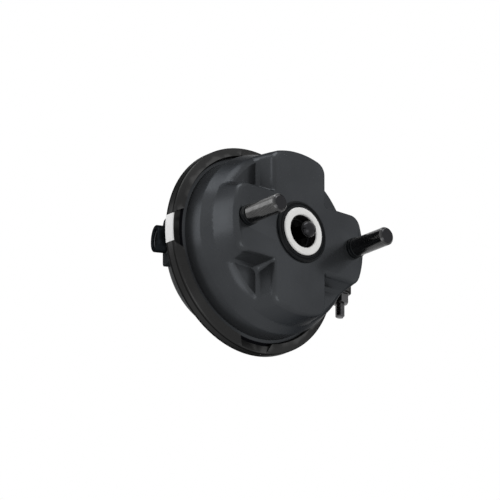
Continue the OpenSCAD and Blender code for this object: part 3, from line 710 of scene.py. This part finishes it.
def makeBoot(look):
    low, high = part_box("rod_boot")
    start = low.y + look["wall"] / 2
    cuffStart = high.y - look["cuff"]
    pitch = (cuffStart - start) / look["folds"]
    folds = [(look["outer"] if half % 2 else look["inner"], start + pitch * half / 2)
             for half in range(1, 2 * look["folds"])]
    bm = bmesh.new()
    corners = addWire(bm, [(look["mouth"], start), (look["inner"], start), *folds,
                           (look["cuffRadius"], cuffStart)], closed=False)
    roundCorners(bm, corners[1:-1], look["bend"])
    spinAll(bm, steps=72)
    bellows = thicken(pieceFrom("bootFolds", bm, sharpAngle=60), look["wall"])
    finish(bellows, bootRubber, "casing", "boot_rubber", "rod_boot")
    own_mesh(bellows)
    bm = bmesh.new()
    addWire(bm, [(look["cuffRadius"], cuffStart), (look["cuffRadius"], high.y)], closed=False)
    spinAll(bm, steps=72)
    cuff = thicken(pieceFrom("bootCuff", bm, sharpAngle=60), look["wall"])
    finish(cuff, bootRubber, "rod", "boot_rubber")


def makeClip():
    # a ring of wire round the cuff
    low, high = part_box("boot_clip")
    wire = (high.y - low.y) / 2
    bm = bmesh.new()
    bmesh.ops.create_circle(bm, cap_ends=False, radius=wire, segments=14)
    bmesh.ops.translate(bm, vec=(high.x - wire, (low.y + high.y) / 2, 0), verts=bm.verts)
    spinAll(bm, steps=72)
    finish(pieceFrom("bootClip", bm, sharpAngle=60), clipSteel, "rod", "clip_steel", "boot_clip")


makeBoot(bootLook)
makeClip()
print("boot ready")


# Return spring

springLook = {"wire": 0.0046, "frontRadius": 0.0295, "rearRadius": 0.0440, "turns": 6.5, "flatTurn": 0.75,
              "flatRise": 1.05, "pointsPerTurn": 36}


def makeSpring(look):
    low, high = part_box("return_spring")
    first, last = low.y + look["wire"] / 2, high.y - look["wire"] / 2
    flatShare = look["flatTurn"] / look["turns"]
    flatDepth = look["flatTurn"] * look["wire"] * look["flatRise"]
    count = round(look["turns"] * look["pointsPerTurn"])
    curve = bpy.data.curves.new("returnSpring", "CURVE")
    curve.dimensions = "3D"
    curve.bevel_depth = look["wire"] / 2
    curve.bevel_resolution = 3
    curve.use_fill_caps = True
    spline = curve.splines.new("POLY")
    spline.points.add(count)
    for index, point in enumerate(spline.points):
        share = index / count
        angle = fullTurn * look["turns"] * share
        radius = look["frontRadius"] + (look["rearRadius"] - look["frontRadius"]) * share
        if share < flatShare:
            depth = first + flatDepth * share / flatShare
        elif share > 1 - flatShare:
            depth = last - flatDepth * (1 - share) / flatShare
        else:
            middle = (share - flatShare) / (1 - 2 * flatShare)
            depth = first + flatDepth + (last - first - 2 * flatDepth) * middle
        point.co = (radius * math.cos(angle), depth, radius * math.sin(angle), 1)
    coil = linkPiece("springCurve", curve)
    bpy.context.view_layer.update()
    mesh = bpy.data.meshes.new_from_object(coil.evaluated_get(bpy.context.evaluated_depsgraph_get()))
    bpy.data.objects.remove(coil)
    mesh.shade_smooth()
    piece = finish(linkPiece("returnSpring", mesh), springSteel, "casing", "spring_steel", "return_spring")
    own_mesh(piece)


makeSpring(springLook)
print("spring ready")


# Diaphragm: the packed shape as one piece, with its placement baked in


def makeDiaphragm():
    piece = finish(pieceFrom("diaphragmCup", mergedMesh("diaphragm")), diaphragmRubber, None,
                   "diaphragm_rubber", "diaphragm")
    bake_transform(piece)


makeDiaphragm()
print("diaphragm ready")


# Camera at the photograph's angle, soft light and a pale floor

cameraLook = {"target": (-0.0289, 0.0325, -0.0142), "direction": (-0.620, -0.703, -0.350), "distance": 8.0,
              "frameWidth": 0.4237, "sensor": 36, "reach": 200}

# mirrored says whether reflections show the lamp
lampLooks = {
    "keyLamp": {"direction": (0.574, -0.683, 0.451), "size": 0.15, "power": 14, "mirrored": False},
    "topLamp": {"direction": (-0.30, 0.10, 0.95), "size": 1.2, "power": 15, "mirrored": True},
    "rearLamp": {"direction": (-0.66, 0.66, 0.35), "size": 1.1, "power": 7, "mirrored": True},
    "lowLamp": {"direction": (-0.51, -0.56, -0.65), "size": 1.1, "power": 6, "mirrored": True},
}
lampDistance = 1.8

worldLook = {"fill": 0.45, "white": 1.0}  # fill is the light on the object, white is what is seen directly
floorLook = {"colour": (0.86, 0.86, 0.86), "roughness": 0.9, "specular": 0.1, "height": -3.2, "size": 120,
             "white": 0.9}


def makeCamera(look):
    direction = Vector(look["direction"]).normalized()
    camera = linkPiece("photoCamera", bpy.data.cameras.new("photoCamera"))
    camera.location = Vector(look["target"]) + direction * look["distance"]
    camera.rotation_euler = direction.to_track_quat("Z", "Y").to_euler()
    camera.data.sensor_width = look["sensor"]
    camera.data.lens = look["sensor"] * look["distance"] / look["frameWidth"]
    camera.data.clip_end = look["reach"]
    scene.camera = camera


def makeLamp(name, look):
    direction = Vector(look["direction"]).normalized()
    lamp = linkPiece(name, bpy.data.lights.new(name, "AREA"))
    lamp.location = Vector(cameraLook["target"]) + direction * lampDistance
    lamp.rotation_euler = direction.to_track_quat("Z", "Y").to_euler()
    lamp.data.size = look["size"]
    lamp.data.energy = look["power"]
    lamp.visible_glossy = look["mirrored"]


def seenDirectly(tree):
    # 1 for what the camera, a reflection or glass sees, 0 for the light that falls on the object
    paths = tree.nodes.new("ShaderNodeLightPath")
    total = paths.outputs["Is Camera Ray"]
    for ray in ("Is Glossy Ray", "Is Transmission Ray"):
        either = tree.nodes.new("ShaderNodeMath")
        either.operation = "MAXIMUM"
        tree.links.new(total, either.inputs[0])
        tree.links.new(paths.outputs[ray], either.inputs[1])
        total = either.outputs[0]
    return total


def makeWorld(look):
    world = bpy.data.worlds.new("studio")
    scene.world = world
    world.use_nodes = True
    tree = world.node_tree
    dim = tree.nodes["Background"]
    dim.inputs["Color"].default_value = (1, 1, 1, 1)
    dim.inputs["Strength"].default_value = look["fill"]
    white = tree.nodes.new("ShaderNodeBackground")
    white.inputs["Color"].default_value = (1, 1, 1, 1)
    white.inputs["Strength"].default_value = look["white"]
    mix = tree.nodes.new("ShaderNodeMixShader")
    tree.links.new(seenDirectly(tree), mix.inputs[0])
    tree.links.new(dim.outputs[0], mix.inputs[1])
    tree.links.new(white.outputs[0], mix.inputs[2])
    tree.links.new(mix.outputs[0], tree.nodes["World Output"].inputs["Surface"])


def makeFloor(look):
    bm = bmesh.new()
    bmesh.ops.create_grid(bm, x_segments=1, y_segments=1, size=look["size"] / 2)
    bmesh.ops.translate(bm, vec=(0, 0, look["height"]), verts=bm.verts)
    floor = pieceFrom("studioFloor", bm)
    material = newMaterial("floorPaint", look)
    tree = material.node_tree
    glow = tree.nodes.new("ShaderNodeEmission")
    glow.inputs["Strength"].default_value = 1.0
    share = tree.nodes.new("ShaderNodeMath")
    share.operation = "MULTIPLY"
    share.inputs[1].default_value = look["white"]
    tree.links.new(seenDirectly(tree), share.inputs[0])
    mix = tree.nodes.new("ShaderNodeMixShader")
    tree.links.new(share.outputs[0], mix.inputs[0])
    tree.links.new(tree.nodes["Principled BSDF"].outputs[0], mix.inputs[1])
    tree.links.new(glow.outputs[0], mix.inputs[2])
    tree.links.new(mix.outputs[0], tree.nodes["Material Output"].inputs["Surface"])
    floor.data.materials.append(material)


makeCamera(cameraLook)
for lampName, lampLook in lampLooks.items():
    makeLamp(lampName, lampLook)
makeWorld(worldLook)
makeFloor(floorLook)
scene.view_settings.view_transform = "Standard"
print("studio ready")
